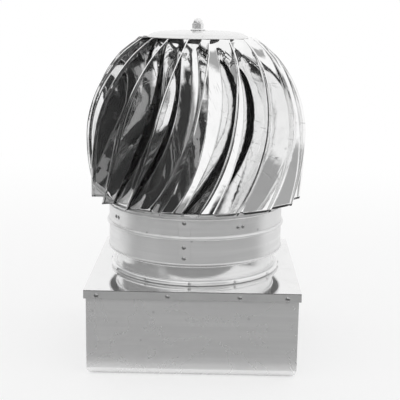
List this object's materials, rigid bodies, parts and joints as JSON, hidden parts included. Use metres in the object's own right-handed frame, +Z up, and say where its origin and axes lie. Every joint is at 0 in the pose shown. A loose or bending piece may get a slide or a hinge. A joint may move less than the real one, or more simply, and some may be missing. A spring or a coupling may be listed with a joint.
{
  "type": "rotating chimney cowl",
  "caption": "Rotating chimney cowl: a ball-shaped cage of twisted vanes with a coned cap turns on a spindle above a round neck and a square box base.",
  "frame": {"origin": "middle of the base's bottom rim, on the axis of rotation", "axes": "+Z up the spindle, +X to the right and -Y to the front, each square to a side of the base"},
  "size_m": [0.4296, 0.4314, 0.654],
  "materials": {
    "box_sheet": "satin sheet",
    "lid_sheet": "bright polished sheet",
    "round_sheet": "bright rolled sheet",
    "vane_sheet": "mirror polished sheet",
    "cap_sheet": "mirror polished sheet",
    "inner_steel": "plain mill finish",
    "bush_metal": "turned bronze",
    "fasteners": "bright turned steel",
    "rivets": "dull pressed steel"
  },
  "bodies": {
    "base": {"base_box": "box_sheet", "base_lid": "lid_sheet", "lid_rivets": "rivets", "neck": "round_sheet", "foot_collar": "round_sheet", "collar_rivets": "rivets", "lower_bar": "inner_steel", "upper_bar": "inner_steel", "bar_rivets": "rivets", "spindle": "inner_steel", "bar_nuts": "fasteners", "support_nuts": "fasteners", "thrust_washer": "fasteners", "cone_washer": "fasteners", "dome_nut": "fasteners"},
    "head": {"skirt": "round_sheet", "seam_rivets": "rivets", "spider": "inner_steel", "spider_rivets": "rivets", "lower_bush": "bush_metal", "cage_ring": "round_sheet", "ring_rivets": "rivets", "carrier_disc": "inner_steel", "carrier_rivets": "rivets", "bearing_housing": "inner_steel", "housing_bolts": "fasteners", "top_bush": "bush_metal", "top_cap": "cap_sheet", "vane_01": "vane_sheet", "vane_02": "vane_sheet", "vane_03": "vane_sheet", "vane_04": "vane_sheet", "vane_05": "vane_sheet", "vane_06": "vane_sheet", "vane_07": "vane_sheet", "vane_08": "vane_sheet", "vane_09": "vane_sheet", "vane_10": "vane_sheet", "vane_11": "vane_sheet", "vane_12": "vane_sheet", "vane_13": "vane_sheet", "vane_14": "vane_sheet", "vane_15": "vane_sheet", "vane_16": "vane_sheet", "vane_17": "vane_sheet", "vane_18": "vane_sheet"}
  },
  "joints": [
    {"name": "head_spin", "type": "hinge", "parent": "base", "child": "head", "pos_m": [0, 0, 0.4], "axis": [0, 0, 1], "continuous": true}
  ]
}
